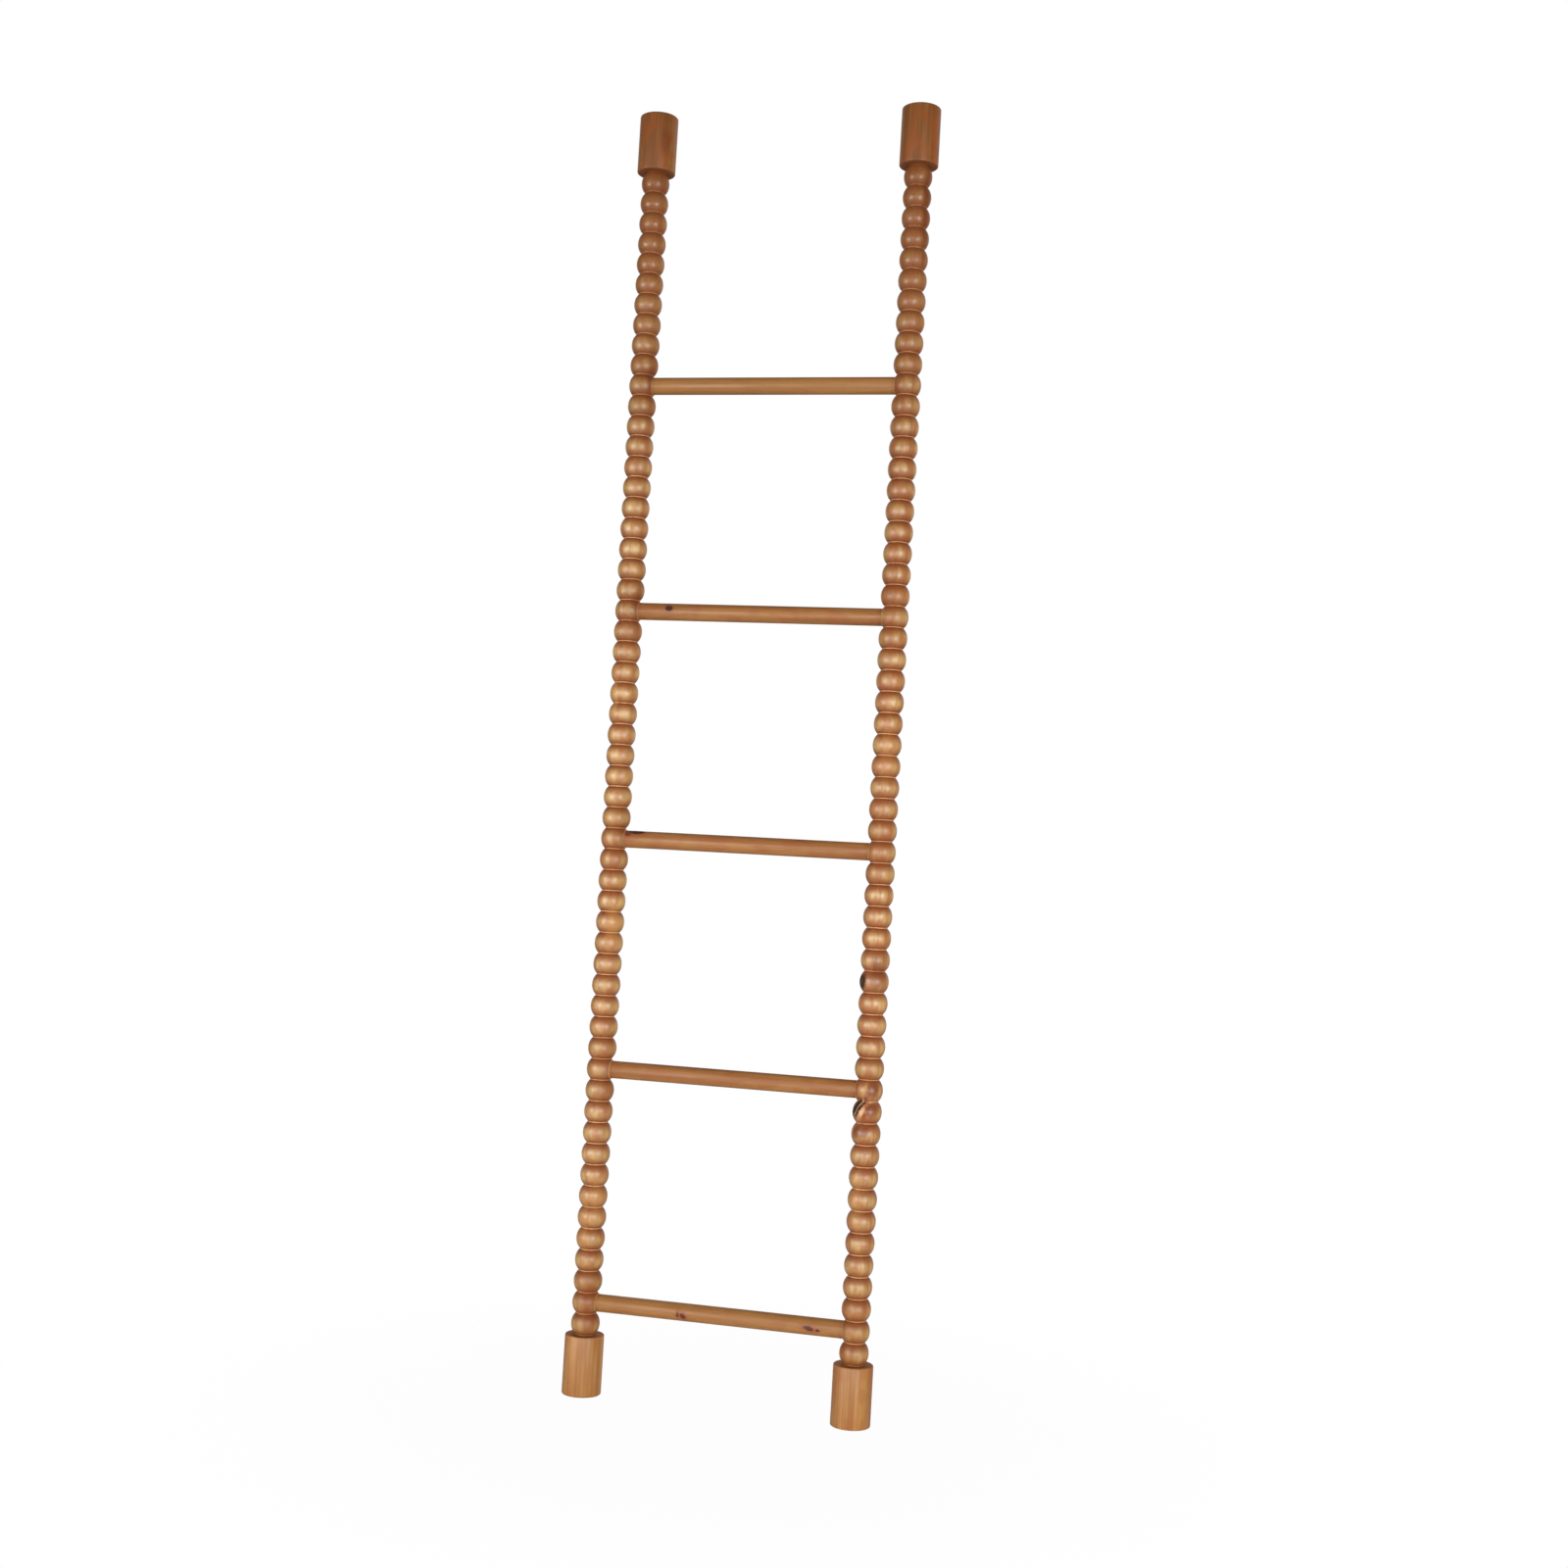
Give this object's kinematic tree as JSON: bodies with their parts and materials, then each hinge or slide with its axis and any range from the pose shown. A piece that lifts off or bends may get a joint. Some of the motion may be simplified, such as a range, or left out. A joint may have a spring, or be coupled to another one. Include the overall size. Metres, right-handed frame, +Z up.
{
  "type": "blanket ladder",
  "caption": "Leaning wooden blanket ladder with bobbin-turned rails, plain round rungs and round blocks on the rail ends, for hanging throws, blankets or towels.",
  "frame": {"origin": "on the floor, midway between the two feet", "axes": "+Z up along the rails, +X along the rungs to the right as seen from the front, +Y back towards the wall"},
  "size_m": [0.4404, 0.055, 1.8292],
  "materials": {
    "rail_wood": "honey brown stain under a satin lacquer",
    "block_wood": "honey brown stain under a satin lacquer",
    "rung_wood": "honey brown stain under a satin lacquer",
    "dowel_wood": "bare beech, hidden in the joints"
  },
  "bodies": {
    "root": {"left_rail": "rail_wood", "right_rail": "rail_wood", "left_foot_block": "block_wood", "right_foot_block": "block_wood", "left_top_block": "block_wood", "right_top_block": "block_wood", "left_foot_dowel": "dowel_wood", "right_foot_dowel": "dowel_wood", "left_top_dowel": "dowel_wood", "right_top_dowel": "dowel_wood", "rung_1": "rung_wood", "rung_2": "rung_wood", "rung_3": "rung_wood", "rung_4": "rung_wood", "rung_5": "rung_wood"}
  },
  "joints": []
}
